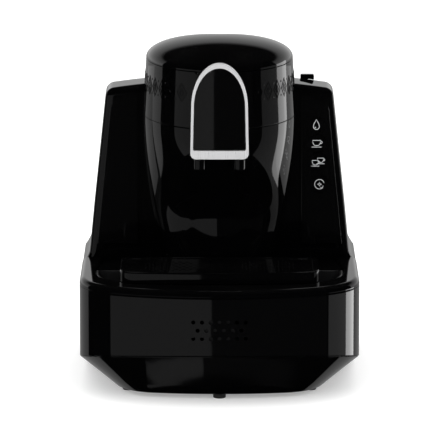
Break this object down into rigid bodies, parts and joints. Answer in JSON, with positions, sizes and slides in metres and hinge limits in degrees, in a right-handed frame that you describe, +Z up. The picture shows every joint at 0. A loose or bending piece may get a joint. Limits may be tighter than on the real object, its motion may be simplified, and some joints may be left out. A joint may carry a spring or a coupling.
{
  "type": "electric turkish coffee maker",
  "caption": "Countertop electric Turkish coffee maker with a domed brewing tower, twin spout, raised cup platform over a drip tray, and a rear water tank.",
  "frame": {"origin": "bottom centre of the box that holds the machine, on the surface that its feet stand on", "axes": "+Z up, +X to the right of a person facing the front, -Y towards that person, so the spout faces -Y"},
  "size_m": [0.24, 0.27, 0.2988],
  "materials": {
    "gloss_black_shell": "gloss",
    "gloss_black_panel": "gloss",
    "satin_black": "satin",
    "satin_chrome": "satin",
    "steel": "brushed",
    "pale_mark": "satin",
    "smoked_clear": "gloss",
    "black_rubber": "matte",
    "grey_rubber": "matte",
    "board": "satin",
    "brass": "satin"
  },
  "bodies": {
    "housing": {"bottom_pan": "gloss_black_shell", "base_shell": "gloss_black_shell", "tray_frame": "gloss_black_shell", "cord_gland": "black_rubber", "foot_front": "black_rubber", "foot_front_left": "black_rubber", "foot_front_right": "black_rubber", "foot_rear_left": "black_rubber", "foot_rear_right": "black_rubber", "back_body": "gloss_black_shell", "panel_left": "gloss_black_panel", "panel_right": "gloss_black_panel", "water_indicator": "pale_mark", "control_board": "board", "tower_lower": "gloss_black_shell", "tower_upper": "gloss_black_shell", "lid_hinge_pin": "steel", "arch_frame": "satin_chrome", "arch_panel": "gloss_black_panel", "spout_body": "gloss_black_shell", "nozzle_left": "satin_black", "nozzle_right": "satin_black", "brew_pot": "steel", "pot_collar": "satin_black", "heater_plate": "steel", "heater_deck": "satin_black", "temperature_sensor": "brass", "discharge_tube": "grey_rubber", "pump": "satin_black", "pump_bracket": "steel", "tank_seat": "satin_black", "suction_hose": "grey_rubber", "feed_hose": "grey_rubber", "buzzer": "satin_black", "power_board": "board"},
    "lid": {"lid_shell": "gloss_black_shell", "lid_liner": "satin_black", "lid_seal": "grey_rubber"},
    "one_cup_button": {"key_one_cup": "pale_mark"},
    "two_cups_button": {"key_two_cups": "pale_mark"},
    "clean_button": {"key_clean": "pale_mark"},
    "tray": {"drip_tray": "satin_black"},
    "platform": {"cup_platform": "gloss_black_shell"},
    "tank": {"water_tank": "smoked_clear", "tank_valve": "satin_black"},
    "tank_cover": {"tank_lid": "gloss_black_shell"}
  },
  "joints": [
    {"name": "lid_hinge", "type": "hinge", "parent": "housing", "child": "lid", "pos_m": [0, 0.0515, 0.27], "axis": [-1, 0, 0], "range_deg": [0, 80]},
    {"name": "tray_lift", "type": "slide", "parent": "housing", "child": "tray", "axis": [0, 0, 1], "range_m": [0, 0.02]},
    {"name": "platform_lift", "type": "slide", "parent": "tray", "child": "platform", "axis": [0, 0, 1], "range_m": [0, 0.02]},
    {"name": "tank_lift", "type": "slide", "parent": "housing", "child": "tank", "axis": [0, 0, 1], "range_m": [0, 0.012]},
    {"name": "tank_lid_hinge", "type": "hinge", "parent": "tank", "child": "tank_cover", "pos_m": [0, 0.135, 0.22482], "axis": [-1, 0, 0], "range_deg": [0, 75]},
    {"name": "one_cup_press", "type": "slide", "parent": "housing", "child": "one_cup_button", "axis": [0, 1, 0], "range_m": [0, 0.0008], "stiffness_N_per_m": 1500},
    {"name": "two_cups_press", "type": "slide", "parent": "housing", "child": "two_cups_button", "axis": [0, 1, 0], "range_m": [0, 0.0008], "stiffness_N_per_m": 1500},
    {"name": "clean_press", "type": "slide", "parent": "housing", "child": "clean_button", "axis": [0, 1, 0], "range_m": [0, 0.0008], "stiffness_N_per_m": 1500}
  ]
}
